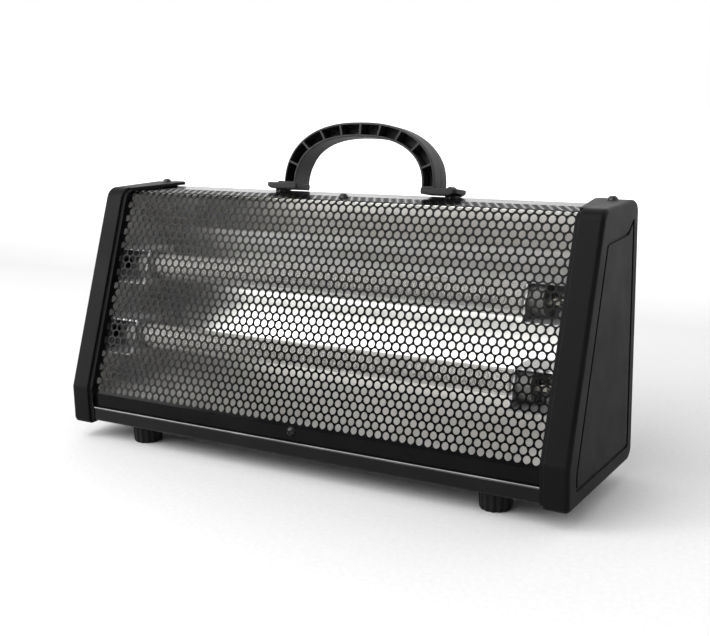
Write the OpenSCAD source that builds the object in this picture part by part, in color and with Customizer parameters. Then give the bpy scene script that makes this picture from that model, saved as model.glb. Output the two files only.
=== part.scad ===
// Portable two-tube quartz heater with a perforated guard and a carry handle.
// The origin is on the floor under the middle of the body: +X to the right, the front faces -Y, +Z up.

/* [Body] */
// Width over the two end caps
body_w = 394; // [360:2:430]
// Depth of the end caps at the base
body_d = 116; // [112:1:124]
// Height of the top of the end caps above the floor
cap_top = 184; // [180:1:192]
// Gap between the end caps and the floor
floor_gap = 12; // [9:1:14]
// Height of the upright lower stretch of the end caps
upright_h = 28; // [24:1:30]
// Backward lean of the front, in degrees
lean = 20; // [18:0.5:21]

/* [End caps] */
// Width of a cap seen from the front
cap_w = 16; // [14:0.5:20]
// Distance from a cap's side to the inner edge of its top flange, at the back
top_flange_w = 30; // [26:1:36]
// Wall of the caps
cap_wall = 2.4; // [2:0.1:2.8]
// Depth of the groove round the panel in a cap's side
groove_depth = 1.2; // [0.6:0.1:1.4]
// Width of that groove
groove_w = 2.2; // [1:0.1:3]

/* [Sheet metal] */
// Thickness of the folded sheets
sheet = 0.8; // [0.6:0.1:1]
// Setback of the guard's plain band behind the front of the caps
guard_setback = 5; // [4:0.5:6]
// Height above the floor where the guard starts to lean back
guard_kink = 35; // [33:0.5:37]

/* [Guard perforation] */
// Distance between neighbouring holes
pitch = 12; // [6:3:18]
// Hole diameter as a share of the pitch
hole_share = 0.833; // [0.6:0.01:0.85]

/* [Heating tubes] */
// Outer diameter of a quartz tube
tube_d = 17; // [14:0.5:18]
// Length of a quartz tube
tube_l = 300; // [280:2:304]
// Height of the lower tube above the floor
lower_tube_z = 77; // [72:1:80]
// Height of the upper tube above the floor
upper_tube_z = 127; // [122:1:132]
// Distance from the guard's outer face to the axis of a tube
tube_gap = 14.5; // [14:0.5:17]

/* [Carry handle] */
// Outer half width of the arch
arch_a = 62; // [54:1:66]
// Height of the arch above its flanges
arch_b = 45; // [40:1:52]
// Fullness of the arch's shoulders: 1 is an ellipse, and less is squarer
arch_power = 0.84; // [0.7:0.01:1]
// Radial thickness of the arch
arch_t = 10; // [8:0.5:12]
// Depth of the handle from front to back
handle_d = 19; // [16:1:20]
// Distance of the handle's back edge behind the middle of the body
handle_back = 55; // [50:0.5:55]
// Backward lean of the handle, in degrees
handle_lean = 10; // [0:1:12]

/* [Feet] */
// Diameter of a foot at the top
foot_d = 22; // [16:1:24]
// Distance of the feet from the middle, sideways
foot_x = 142; // [120:1:160]
// Distance of the feet from the middle, front to back
foot_y = 37; // [34:1:43]

/* [Switches] */
// Travel of a rocker from off to on, in degrees
rocker_travel = 18; // [12:1:20]
// Travel of the tip-over plunger
plunger_travel = 6; // [4:0.5:6]

/* [Hidden] */

$fn = 48;
eps = 0.01;
gap = 0.1;

half_w = body_w / 2;
half_d = body_d / 2;
cap_inner_x = half_w - cap_w;
lip_w = 3;
lip_x = cap_inner_x - lip_w;
lip_sink = 2;

// Side view of a cap as [y, z], counter-clockwise from the front of the bottom
cap_points = [
    [-half_d, floor_gap],
    [half_d, floor_gap],
    [half_d, cap_top],
    [-half_d + (cap_top - floor_gap - upright_h) * tan(lean), cap_top],
    [-half_d, floor_gap + upright_h]
];
cap_radii = [4, 9, 8, 10, 8];

// Outer faces of the sheet-metal body
guard_y = -half_d + guard_setback;
lip_y = guard_y - 1.6;
flange_z = cap_top - cap_wall - gap;
roof_z = flange_z - sheet - gap;
back_y = half_d - cap_wall - 0.4;
floor_z = floor_gap + cap_wall + 0.3;
lip_top = floor_z + 10;
guard_bend_r = 4;
guard_flange_end = 26;
roof_start = 15;
sheet_half_l = half_w - 9;
tray_half_l = cap_inner_x - 0.5;

// Tube axes lie on a line parallel to the leaning guard
function guard_face_y(z) = guard_y + (z - guard_kink) * tan(lean);
function tube_y(z) = guard_face_y(z) + tube_gap / cos(lean);

// Unit vector, left normal, polyline and corner helpers
function unit(v) = v / norm(v);
function left_normal(a, b) = [a.y - b.y, b.x - a.x] / norm(b - a);
function mitre(n1, n2, d) = (n1 + n2) * d / (1 + n1 * n2);
function shifted(p, i, d) =
    i == 0 ? p[0] + left_normal(p[0], p[1]) * d :
    i == len(p) - 1 ? p[i] + left_normal(p[i - 1], p[i]) * d :
    p[i] + mitre(left_normal(p[i - 1], p[i]), left_normal(p[i], p[i + 1]), d);
function strip(p, d) = concat(p, [for (i = [len(p) - 1 : -1 : 0]) shifted(p, i, d)]);
function before(p, i) = p[(i + len(p) - 1) % len(p)];
function after(p, i) = p[(i + 1) % len(p)];
function inset(p, d) = [
    for (i = [0 : len(p) - 1])
        p[i] + mitre(left_normal(before(p, i), p[i]), left_normal(p[i], after(p, i)), d)
];
function corner(a, p, b, r, n) =
    let (
        u = unit(a - p),
        v = unit(b - p),
        half = acos(u * v) / 2,
        centre = p + unit(u + v) * r / sin(half),
        from = unit(p + u * r / tan(half) - centre),
        to = unit(p + v * r / tan(half) - centre),
        turn = from.x * to.y - from.y * to.x > 0 ? 1 : -1,
        start = atan2(from.y, from.x)
    )
    [
        for (i = [0 : n])
            let (t = start + turn * (180 - 2 * half) * i / n)
            centre + r * [cos(t), sin(t)]
    ];
function rounded(p, radii, n = 6) = [
    for (i = [0 : len(p) - 1]) each corner(before(p, i), p[i], after(p, i), radii[i], n)
];
function folded(p, radii, n = 5) = [
    for (i = [0 : len(p) - 1])
        each (i == 0 || i == len(p) - 1 ? [p[i]] : corner(p[i - 1], p[i], p[i + 1], radii[i - 1], n))
];
function cap_outline(d) = rounded(inset(cap_points, d), [for (r = cap_radii) max(r - d, 0.6)]);

// Extrudes a [y, z] shape from x0 to x1
module along_x(x0, x1) {
    translate([x0, 0, 0]) rotate([90, 0, 90]) linear_extrude(x1 - x0) children();
}

// Extrudes an [x, z] shape from y0 to y1
module along_y(y0, y1) {
    translate([0, y1, 0]) rotate([90, 0, 0]) linear_extrude(y1 - y0) children();
}

module box(low, high) {
    translate(low) cube(high - low);
}

// Mirrors a right-hand shape to the chosen side
module on_side(side) {
    if (side < 0) {
        mirror([1, 0, 0]) children();
    } else {
        children();
    }
}

// ---- Sheet-metal body ----

module slot_row(z, count, w, h) {
    spacing = 2 * (lip_x - 24) / count;
    for (i = [0 : count - 1]) {
        x = (i - (count - 1) / 2) * spacing;
        box([x - w / 2 + h / 2, back_y - 3, z - h / 2], [x + w / 2 - h / 2, back_y + 1, z + h / 2]);
        for (s = [-1, 1]) {
            translate([x + s * (w - h) / 2, back_y + 1, z]) rotate([90, 0, 0]) cylinder(d = h, h = 4);
        }
    }
}

gland_x = -128;
gland_z = 40;
gland_hole_d = 12.4;

module rear_housing() {
    line = folded([[roof_start, roof_z], [back_y, roof_z], [back_y, floor_z + 5]], [3.5]);
    color("black") difference() {
        along_x(-sheet_half_l, sheet_half_l) polygon(strip(line, -sheet));
        slot_row(158, 14, 16, 3.6);
        slot_row(148, 14, 16, 3.6);
        slot_row(64, 14, 16, 3.6);
        translate([gland_x, back_y + 1, gland_z]) rotate([90, 0, 0]) cylinder(d = gland_hole_d, h = 3);
        for (p = rear_screw_places) {
            translate([p.x, back_y + 1, p.y]) rotate([90, 0, 0]) cylinder(d = 3.4, h = 3);
        }
        for (s = [-1, 1]) {
            translate([s * handle_screw_x, handle_hole_y, roof_z - 2]) cylinder(d = 5.2, h = 4);
        }
        translate([0, guard_screw_y, roof_z - 2]) cylinder(d = 3.4, h = 4);
        for (s = [-1, 1]) {
            translate([s * cap_screw_x, cap_screw_y, roof_z - 2]) cylinder(d = 3.4, h = 4);
        }
    }
}

module base_tray() {
    line = folded([[lip_y, lip_top], [lip_y, floor_z], [back_y - sheet - gap, floor_z],
                   [back_y - sheet - gap, floor_z + 14]], [1.6, 4]);
    color("black") difference() {
        union() {
            along_x(-tray_half_l, tray_half_l) polygon(strip(line, sheet));
            along_x(-lip_x, lip_x) translate([lip_y + 0.45, lip_top]) circle(d = 1.8);
        }
        for (sx = [-1, 1], sy = [-1, 1]) {
            translate([sx * foot_x, sy * foot_y, floor_z - 1]) cylinder(d = 8.2, h = 4);
        }
        translate([plunger_x, plunger_y, floor_z - 1]) cylinder(d = 7.4, h = 4);
        for (p = rear_screw_places) {
            translate([p.x, back_y + 1, p.y]) rotate([90, 0, 0]) cylinder(d = 3.4, h = 4);
        }
    }
}

// Outer face of the guard, from the plain band up over the bend to the end of its top flange
function guard_line() = folded([
    [guard_y, floor_z + 4],
    [guard_y, guard_kink],
    [guard_face_y(flange_z), flange_z],
    [guard_flange_end, flange_z]
], [guard_bend_r, guard_bend_r]);

hole_d = pitch * hole_share;
row_h = pitch * sin(60);
slope_l = (flange_z - guard_kink) / cos(lean);
hole_rows = floor((slope_l - hole_d - 3) / row_h);
hole_columns = floor(2 * lip_x / pitch);

module guard_holes() {
    // The row's own frame: x along the guard, y up its slope from the kink
    translate([0, guard_y, guard_kink]) rotate([90 - lean, 0, 0]) translate([0, 0, -2]) linear_extrude(4)
        for (row = [0 : hole_rows], column = [0 : hole_columns - row % 2]) {
            x = (column - (hole_columns - row % 2) / 2) * pitch;
            translate([x, hole_d / 2 + 1.5 + row * row_h]) circle(d = hole_d);
        }
}

guard_screw_y = 20;
guard_screw_z = floor_z + 17.5;

module front_guard() {
    color("black") difference() {
        along_x(-sheet_half_l, sheet_half_l) polygon(strip(guard_line(), -sheet));
        guard_holes();
        translate([0, guard_screw_y, flange_z - 2]) cylinder(d = 3.4, h = 4);
        translate([0, guard_y + 2, guard_screw_z]) rotate([90, 0, 0]) cylinder(d = 3.4, h = 4);
    }
}

// ---- End caps ----

cap_screw_x = cap_inner_x + 2;
cap_screw_y = half_d - 10.5;
panel_front = 12.4;

// Grooved panel in a cap's side as [y, z], parallel to the cap's leaning front
panel_points = [
    [-half_d + 12, floor_gap + 10],
    [half_d - 9, floor_gap + 10],
    [half_d - 9, cap_top - 10],
    [half_d - 20, cap_top - 18.5],
    [-half_d + panel_front + (cap_top - 20 - floor_gap - upright_h) * tan(lean), cap_top - 20],
    [-half_d + panel_front, floor_gap + upright_h - 6]
];
panel_radii = [3, 3, 1.5, 8, 3, 3];
inner_panel_radii = [1, 1, 0.6, 10, 1, 1];

// Opening in a cap for the sheet-metal body, as [y, z]
body_points = [
    [lip_y - 0.6, floor_z - gap],
    [back_y + gap, floor_z - gap],
    [back_y + gap, flange_z + gap],
    [guard_face_y(flange_z) - gap, flange_z + gap],
    [guard_y - gap, guard_kink],
    [lip_y - 0.6, guard_kink - 3]
];
body_radii = [1, 4, 3.5, 1, 1, 1];

// Top flange of a cap as [x, y], widening towards the back
flange_points = [
    [lip_x, guard_face_y(flange_z) + 1],
    [cap_inner_x + 2, guard_face_y(flange_z) + 1],
    [cap_inner_x + 2, half_d - 1.5],
    [half_w - top_flange_w, half_d - 1.5]
];
flange_radii = [1, 0.6, 0.6, 5];

module cap_shell() {
    difference() {
        union() {
            along_x(cap_inner_x, half_w) polygon(cap_outline(0));
            along_x(lip_x, cap_inner_x + eps) polygon(cap_outline(lip_sink));
            translate([0, 0, flange_z + gap]) linear_extrude(cap_top - flange_z - gap)
                polygon(rounded(flange_points, flange_radii));
        }
        along_x(lip_x - top_flange_w, cap_inner_x + eps) polygon(rounded(body_points, body_radii));
        along_x(cap_inner_x, half_w - cap_wall - groove_depth) polygon(cap_outline(cap_wall));
        along_x(half_w - groove_depth, half_w + 1) difference() {
            polygon(rounded(panel_points, panel_radii));
            polygon(rounded(inset(panel_points, groove_w), inner_panel_radii));
        }
        translate([cap_screw_x, cap_screw_y, flange_z - 1]) cylinder(d = 3.4, h = 6);
    }
}

switch_z = 42;
upper_switch_y = 10;
lower_switch_y = 31;
well_depth = 4;
well_y0 = 0;
well_y1 = 41;
well_z0 = 28;
well_z1 = 56;
well_wall = 2;
switch_face_x = -(half_w - groove_depth - well_depth);
switch_cut = [11.6, 19.2];

module left_end_cap() {
    low = [switch_face_x, well_y0, well_z0];
    color("dimgray") difference() {
        union() {
            on_side(-1) cap_shell();
            box([-half_w + 1.4, well_y0 - well_wall, well_z0 - well_wall],
                [switch_face_x + well_wall, well_y1 + well_wall, well_z1 + well_wall]);
        }
        box([-half_w - 1, well_y0, well_z0], [switch_face_x, well_y1, well_z1]);
        for (y = [upper_switch_y, lower_switch_y]) {
            box([switch_face_x - 1, y - switch_cut.x / 2, switch_z - switch_cut.y / 2],
                [switch_face_x + well_wall + 1, y + switch_cut.x / 2, switch_z + switch_cut.y / 2]);
        }
    }
}

module right_end_cap() {
    color("dimgray") cap_shell();
}

// ---- Reflector and its end plates ----

reflector_half_l = lip_x + 3;
reflector_points = [
    [11.5, 179.3],
    [42, 150],
    [42, 104],
    [26.6, 71],
    [-45, 34]
];

module reflector() {
    color("silver") along_x(-reflector_half_l, reflector_half_l) polygon(strip(reflector_points, 0.5));
}

// End plate between the reflector and the guard
bulkhead_points = [
    [-46, 33],
    [27.1, 70],
    [44, 104],
    [44, 151],
    [17, 178],
    [5, 178],
    [guard_face_y(166) + 2.5, 166],
    [guard_face_y(42) + 2.5, 42]
];

module bulkhead(side) {
    color("gray") on_side(side) difference() {
        along_x(reflector_half_l + gap, reflector_half_l + gap + 1) polygon(bulkhead_points);
        for (z = [lower_tube_z, upper_tube_z]) {
            translate([reflector_half_l - 2, tube_y(z), z]) rotate([0, 90, 0]) cylinder(d = 9, h = 6);
        }
    }
}

module left_bulkhead() {
    bulkhead(-1);
}

module right_bulkhead() {
    bulkhead(1);
}

// ---- Quartz tubes, coils, ceramics and brackets ----

tube_wall = 1.3;
coil_d = 11.5;
coil_l = 262;
ceramic_d = 20.4;
ceramic_l = 14;
ceramic_grip = 2;
stud_d = 4;
stud_l = 13;
ceramic_x = tube_l / 2 - ceramic_grip;

// Lays a shape made along +Z along +X, centred on the tube at height z
module on_tube(z, x0) {
    translate([x0, tube_y(z), z]) rotate([0, 90, 0]) children();
}

module quartz_tube(z) {
    color("whitesmoke") on_tube(z, -tube_l / 2) difference() {
        cylinder(d = tube_d, h = tube_l);
        translate([0, 0, -1]) cylinder(d = tube_d - 2 * tube_wall, h = tube_l + 2);
    }
}

module heating_coil(z) {
    color("dimgray") on_tube(z, -coil_l / 2) difference() {
        cylinder(d = coil_d, h = coil_l);
        translate([0, 0, -1]) cylinder(d = coil_d - 3, h = coil_l + 2);
    }
}

module tube_ceramics(z) {
    color("ivory") for (side = [-1, 1]) on_side(side) on_tube(z, ceramic_x) difference() {
        cylinder(d = ceramic_d, h = ceramic_l);
        translate([0, 0, -1]) cylinder(d = tube_d + 2 * gap, h = ceramic_grip + 1 + gap);
        translate([0, 0, -1]) cylinder(d = stud_d + 2 * gap, h = ceramic_l + 2);
    }
}

module upper_quartz_tube() {
    quartz_tube(upper_tube_z);
}

module lower_quartz_tube() {
    quartz_tube(lower_tube_z);
}

module upper_heating_coil() {
    heating_coil(upper_tube_z);
}

module lower_heating_coil() {
    heating_coil(lower_tube_z);
}

module upper_tube_ceramics() {
    tube_ceramics(upper_tube_z);
}

module lower_tube_ceramics() {
    tube_ceramics(lower_tube_z);
}

bracket_x = ceramic_x + 3;
bracket_t = 1.2;
holder_half = 12.5;
holder_depth = 13;

// Box round the end of a tube, open towards the guard and the end plate
module tube_holder(z) {
    z0 = z - holder_half;
    z1 = z + holder_half;
    back = holder_depth - bracket_t;
    difference() {
        along_x(bracket_x, reflector_half_l) polygon([
            [tube_y(z0) - holder_depth, z0],
            [tube_y(z0) + holder_depth, z0],
            [tube_y(z1) + holder_depth, z1],
            [tube_y(z1) - holder_depth, z1]
        ]);
        along_x(bracket_x + bracket_t, reflector_half_l + 1) polygon([
            [tube_y(z0) - holder_depth - 8, z0 + bracket_t],
            [tube_y(z0 + bracket_t) + back, z0 + bracket_t],
            [tube_y(z1 - bracket_t) + back, z1 - bracket_t],
            [tube_y(z1) - holder_depth - 8, z1 - bracket_t]
        ]);
        on_tube(z, bracket_x - 1) cylinder(d = ceramic_d + 2 * gap, h = bracket_t + 2);
    }
}

module tube_bracket(side) {
    color("darkslategray") on_side(side) {
        tube_holder(lower_tube_z);
        tube_holder(upper_tube_z);
    }
}

module left_tube_bracket() {
    tube_bracket(-1);
}

module right_tube_bracket() {
    tube_bracket(1);
}

module terminal_studs() {
    nut_x = ceramic_l + gap;
    color("gold") for (side = [-1, 1], z = [lower_tube_z, upper_tube_z]) {
        on_side(side) on_tube(z, ceramic_x) {
            translate([0, 0, ceramic_grip]) cylinder(d = stud_d, h = ceramic_l - ceramic_grip + stud_l);
            translate([0, 0, nut_x]) cylinder(d = 8, h = 3, $fn = 6);
            translate([0, 0, nut_x + 5]) cylinder(d = 8, h = 3, $fn = 6);
        }
    }
}

// ---- Carry handle ----

handle_base_z = roof_z + gap;
handle_flange_t = 4.4;
handle_flange_half = arch_a + 16;
handle_screw_x = arch_a + 8.5;
handle_hole_y = handle_back - handle_d / 2 * cos(handle_lean) - 0.4;
arch_z = handle_flange_t - 1;
arch_steps = 40;
rib_count = 9;
rib_t = 1.4;
arch_skin = 1.4;

function shaped(v, power) = sign(v) * pow(abs(v), power);
function arch_point(a, b, t) = [a * shaped(cos(t), arch_power), arch_z + b * shaped(sin(t), arch_power)];
function half_arch(a, b) = [for (i = [0 : arch_steps]) arch_point(a, b, 180 * i / arch_steps)];

module arch_2d(trim) {
    difference() {
        polygon(half_arch(arch_a - trim, arch_b - trim));
        polygon(half_arch(arch_a - arch_t + trim, arch_b - arch_t + trim));
    }
}

// Pockets between the ribs, open on the front
module arch_pockets() {
    difference() {
        arch_2d(arch_skin);
        for (i = [1 : rib_count]) {
            t = 180 * i / (rib_count + 1);
            across = [arch_b * shaped(cos(t), 2 - arch_power), arch_a * shaped(sin(t), 2 - arch_power)];
            translate(arch_point(arch_a - arch_t / 2, arch_b - arch_t / 2, t))
                rotate(atan2(across.y, across.x))
                square([arch_t * 2, rib_t], center = true);
        }
        for (s = [-1, 1]) {
            translate([s * arch_a, arch_z]) square([4 * arch_t, 4], center = true);
        }
    }
}

// The handle's own frame: its back edge is at y = 0 and its underside at z = 0
module in_handle_frame() {
    translate([0, handle_back, handle_base_z]) rotate([-handle_lean, 0, 0]) children();
}

// Pad that fills the wedge between a leaning flange and the flat top
module handle_pad(side) {
    rise = tan(handle_lean);
    on_side(side) along_x(handle_screw_x - 4, handle_screw_x + 4) polygon([
        [handle_back - 11, handle_base_z],
        [handle_back - 1, handle_base_z],
        [handle_back - 1, handle_base_z + rise + 1],
        [handle_back - 11, handle_base_z + 11 * rise + 1]
    ]);
}

module carry_handle() {
    color("dimgray") difference() {
        union() {
            in_handle_frame() difference() {
                union() {
                    along_y(-handle_d, 0) arch_2d(0);
                    for (s = [-1, 1]) {
                        box([s > 0 ? arch_a - arch_t : -handle_flange_half, -handle_d, 0],
                            [s > 0 ? handle_flange_half : arch_t - arch_a, 0, handle_flange_t]);
                    }
                }
                along_y(-handle_d - 1, -handle_d * 0.45) arch_pockets();
            }
            for (s = [-1, 1]) {
                handle_pad(s);
            }
        }
        for (s = [-1, 1]) {
            in_handle_frame() translate([s * handle_screw_x, -handle_d / 2, -6]) cylinder(d = 4.4, h = 12);
        }
        box([-body_w, half_d, 0], [body_w, 2 * body_d, 2 * cap_top]);
    }
}

// ---- Fasteners ----

// Pan-head screw along -Z with its head's underside at z = 0 and a cross recess
module pan_screw(head_d, head_h, shaft_d, shaft_l) {
    difference() {
        union() {
            cylinder(d = head_d, h = head_h * 0.45);
            translate([0, 0, head_h * 0.45]) cylinder(d1 = head_d, d2 = head_d * 0.62, h = head_h * 0.55);
            translate([0, 0, -shaft_l]) cylinder(d = shaft_d, h = shaft_l + eps);
        }
        for (a = [0, 90]) {
            rotate(a) translate([-head_d * 0.27, -0.45, head_h * 0.45]) cube([head_d * 0.54, 0.9, head_h]);
        }
    }
}

module handle_screws() {
    color("black") in_handle_frame() for (s = [-1, 1]) {
        translate([s * handle_screw_x, -handle_d / 2, handle_flange_t + gap]) pan_screw(7.4, 2.4, 4, 10);
    }
}

module end_cap_screws() {
    color("black") for (s = [-1, 1]) {
        translate([s * cap_screw_x, cap_screw_y, cap_top + gap]) pan_screw(7, 2.2, 3, 8);
    }
}

module guard_screws() {
    color("black") {
        translate([0, guard_screw_y, flange_z + gap]) pan_screw(7, 2.2, 3, 7);
        translate([0, guard_y - gap, guard_screw_z]) rotate([90, 0, 0]) pan_screw(7, 2.2, 3, 7);
    }
}

rear_screw_places = [[-150, 22], [0, 22], [150, 22], [-165, 172], [165, 172]];

module rear_screws() {
    color("black") for (p = rear_screw_places) {
        translate([p.x, back_y + gap, p.y]) rotate([-90, 0, 0]) pan_screw(6.4, 2, 3, 6);
    }
}

// ---- Feet ----

flute_count = 14;
foot_top = floor_z - gap;

module foot(sx, sy) {
    color("black") translate([sx * foot_x, sy * foot_y, 0]) difference() {
        union() {
            cylinder(d1 = foot_d - 3.4, d2 = foot_d - 1.2, h = 1.4);
            translate([0, 0, 1.4]) cylinder(d1 = foot_d - 1.2, d2 = foot_d, h = foot_top - 1.4);
            translate([0, 0, foot_top]) cylinder(d = 8, h = 2.6);
        }
        for (i = [0 : flute_count - 1]) {
            rotate((i + 0.5) * 360 / flute_count) translate([foot_d / 2 + 0.35, 0, -1])
                cylinder(d = 2.4, h = foot_top - 0.6, $fn = 24);
        }
        translate([0, 0, -1]) cylinder(d = 8.6, h = 5);
        translate([0, 0, -1]) cylinder(d = 4.2, h = 24);
    }
}

module front_left_foot() {
    foot(-1, -1);
}

module front_right_foot() {
    foot(1, -1);
}

module rear_left_foot() {
    foot(-1, 1);
}

module rear_right_foot() {
    foot(1, 1);
}

module foot_screws() {
    color("silver") for (sx = [-1, 1], sy = [-1, 1]) {
        translate([sx * foot_x, sy * foot_y, 4 - gap]) mirror([0, 0, 1]) pan_screw(7.6, 2.2, 3.8, 18);
    }
}

// ---- Rocker switches on the left cap ----

bezel = [15, 22];
bezel_t = 1.4;
rocker_size = [9.4, 8];
rocker_hole = [10, 16.8];
pivot_x = switch_face_x + 1;
switch_body_l = 14;
pin_d = 2.4;

// Fixed frame and box of a rocker switch, open towards -X
module switch_body(y) {
    x0 = switch_face_x - gap;
    color("black") difference() {
        union() {
            box([x0 - bezel_t, y - bezel.x / 2, switch_z - bezel.y / 2],
                [x0, y + bezel.x / 2, switch_z + bezel.y / 2]);
            box([x0 - eps, y - switch_cut.x / 2 + gap, switch_z - switch_cut.y / 2 + gap],
                [x0 + switch_body_l, y + switch_cut.x / 2 - gap, switch_z + switch_cut.y / 2 - gap]);
            for (s = [-1, 1]) {
                box([x0 + switch_body_l - eps, y - 2.4, switch_z + s * 5 - 0.4],
                    [x0 + switch_body_l + 7, y + 2.4, switch_z + s * 5 + 0.4]);
            }
        }
        box([x0 - bezel_t - 1, y - rocker_hole.x / 2, switch_z - rocker_hole.y / 2],
            [x0 + switch_body_l - 1.5, y + rocker_hole.x / 2, switch_z + rocker_hole.y / 2]);
        translate([pivot_x, y - switch_cut.x / 2, switch_z]) rotate([-90, 0, 0])
            cylinder(d = pin_d + 0.12, h = switch_cut.x);
    }
}

// Rocker on its pivot pins, shown off: its lower end stands proud
module rocker(y) {
    r = rocker_size.y;
    color("firebrick") translate([pivot_x, y, switch_z]) rotate([0, -rocker_travel / 2, 0]) {
        intersection() {
            translate([0, -rocker_size.x / 2, 0]) rotate([-90, 0, 0]) cylinder(r = r, h = rocker_size.x);
            along_y(-rocker_size.x / 2, rocker_size.x / 2) polygon([
                [3, -r], [3, r], [-4.6, r], [-3.4, 0], [-4.6, -r]
            ]);
        }
        translate([0, -bezel.x / 2 + 1.9, 0]) rotate([-90, 0, 0]) cylinder(d = pin_d, h = bezel.x - 3.8);
    }
}

module upper_switch_body() {
    switch_body(upper_switch_y);
}

module upper_rocker() {
    rocker(upper_switch_y);
}

module lower_switch_body() {
    switch_body(lower_switch_y);
}

module lower_rocker() {
    rocker(lower_switch_y);
}

// ---- Tip-over switch in the base ----

plunger_x = 60;
plunger_y = 18;
plunger_d = 6;
collar_t = 2;
chamber_z = floor_z + sheet + gap + 3;
collar_z = chamber_z + plunger_travel + collar_t + 2.4;
tip_top = 44;

module tip_switch_body() {
    z0 = floor_z + sheet + gap;
    color("black") translate([plunger_x, plunger_y, 0]) difference() {
        box([-11, -8, z0], [11, 8, tip_top]);
        translate([0, 0, z0 - 1]) cylinder(d = plunger_d + 0.12, h = 6);
        translate([0, 0, chamber_z]) cylinder(d = 12, h = tip_top - chamber_z - 3);
    }
}

module tip_switch_plunger() {
    color("white") translate([plunger_x, plunger_y, 0]) {
        cylinder(d1 = 9, d2 = 11, h = 1.5);
        translate([0, 0, 1.5]) cylinder(d = 11, h = 1.5);
        cylinder(d = plunger_d, h = collar_z + 2);
        translate([0, 0, collar_z - collar_t]) cylinder(d = 11, h = collar_t);
    }
}

module tip_switch_spring() {
    color("silver") translate([plunger_x, plunger_y, collar_z + gap]) difference() {
        cylinder(d = 9.4, h = tip_top - 3 - collar_z - 2 * gap);
        translate([0, 0, -1]) cylinder(d = 7.6, h = 20);
    }
}

// ---- Electrical parts inside ----

block_x = -95;
block_y = 18;

module thermal_cutout() {
    color("gray") translate([30, 43, 124]) rotate([-90, 0, 0]) {
        cylinder(d = 15, h = 1.2);
        cylinder(d = 12, h = 6);
        for (s = [-1, 1]) {
            translate([s * 3.6 - 2.2, -0.4, 6 - eps]) cube([4.4, 0.8, 4.5]);
        }
    }
}

module terminal_block() {
    z0 = floor_z + sheet + gap;
    color("ivory") difference() {
        box([block_x - 18, block_y - 7, z0], [block_x + 18, block_y + 7, z0 + 13]);
        for (i = [-1, 0, 1]) {
            x = block_x + i * 11.5;
            translate([x, block_y - 8, z0 + 5]) rotate([-90, 0, 0]) cylinder(d = 3.6, h = 16);
            translate([x, block_y, z0 + 8]) cylinder(d = 4, h = 8);
        }
    }
}

// Straight lengths of insulated wire that run on past each corner by a wire's radius
module wire(points, d) {
    for (i = [0 : len(points) - 2]) {
        v = points[i + 1] - points[i];
        translate(points[i] - unit(v) * d / 2) rotate([0, acos(v.z / norm(v)), atan2(v.y, v.x)])
            cylinder(d = d, h = norm(v) + d);
    }
}

module internal_wiring() {
    wire_z = floor_z + sheet + 6;
    end_x = reflector_half_l + 6;
    color("firebrick") {
        for (s = [-1, 1]) {
            on_side(s) wire([[70, 46, wire_z], [end_x, 46, wire_z], [end_x, 46, 120]], 2.4);
        }
        wire([[-70, 30, wire_z], [70, 30, wire_z]], 2.4);
    }
}

module cable_gland() {
    bore_d = 7.2;
    color("black") translate([gland_x, back_y, gland_z]) rotate([90, 0, 0]) difference() {
        union() {
            translate([0, 0, -2.6]) cylinder(d = 17, h = 2.6 - gap);
            translate([0, 0, -2.6]) cylinder(d = gland_hole_d - 0.2, h = 16);
            translate([0, 0, sheet + gap]) cylinder(d = 16, h = 3, $fn = 6);
        }
        translate([0, 0, -4]) cylinder(d = bore_d, h = 20);
    }
}

rear_housing();
base_tray();
front_guard();
left_end_cap();
right_end_cap();
left_bulkhead();
right_bulkhead();
reflector();
upper_quartz_tube();
lower_quartz_tube();
upper_heating_coil();
lower_heating_coil();
upper_tube_ceramics();
lower_tube_ceramics();
left_tube_bracket();
right_tube_bracket();
terminal_studs();
carry_handle();
handle_screws();
end_cap_screws();
guard_screws();
rear_screws();
front_left_foot();
front_right_foot();
rear_left_foot();
rear_right_foot();
foot_screws();
upper_switch_body();
upper_rocker();
lower_switch_body();
lower_rocker();
tip_switch_body();
tip_switch_plunger();
tip_switch_spring();
thermal_cutout();
terminal_block();
internal_wiring();
cable_gland();
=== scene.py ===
"""Looks of a portable two-tube quartz heater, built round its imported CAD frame.

Lengths are in metres in the CAD's frame: +X to the right, the front faces -Y, +Z up. MM turns
millimetres into metres. Sheet metal is laid out flat as (x, s), where s is the length along the
folded profile, and then bent.
"""
import math
import random

import bmesh
import bpy
from mathutils import Matrix, Vector, noise


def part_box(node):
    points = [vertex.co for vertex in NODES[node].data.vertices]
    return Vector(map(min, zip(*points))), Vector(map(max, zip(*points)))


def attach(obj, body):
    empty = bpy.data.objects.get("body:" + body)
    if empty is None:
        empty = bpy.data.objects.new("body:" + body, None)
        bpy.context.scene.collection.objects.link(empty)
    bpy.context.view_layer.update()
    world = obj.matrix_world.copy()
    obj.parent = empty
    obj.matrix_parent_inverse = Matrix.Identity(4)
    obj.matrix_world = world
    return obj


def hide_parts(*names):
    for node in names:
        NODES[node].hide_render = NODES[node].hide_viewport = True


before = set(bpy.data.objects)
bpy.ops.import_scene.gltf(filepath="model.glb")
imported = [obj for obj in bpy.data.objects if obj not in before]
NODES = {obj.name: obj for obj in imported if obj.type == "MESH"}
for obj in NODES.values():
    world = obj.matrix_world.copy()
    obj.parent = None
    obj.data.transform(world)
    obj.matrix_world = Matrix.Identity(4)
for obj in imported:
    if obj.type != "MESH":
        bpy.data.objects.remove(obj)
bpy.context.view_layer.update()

MM = 0.001
BODY = "heater"


# ---------------------------------------------------------------- sizes taken from the frame

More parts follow.
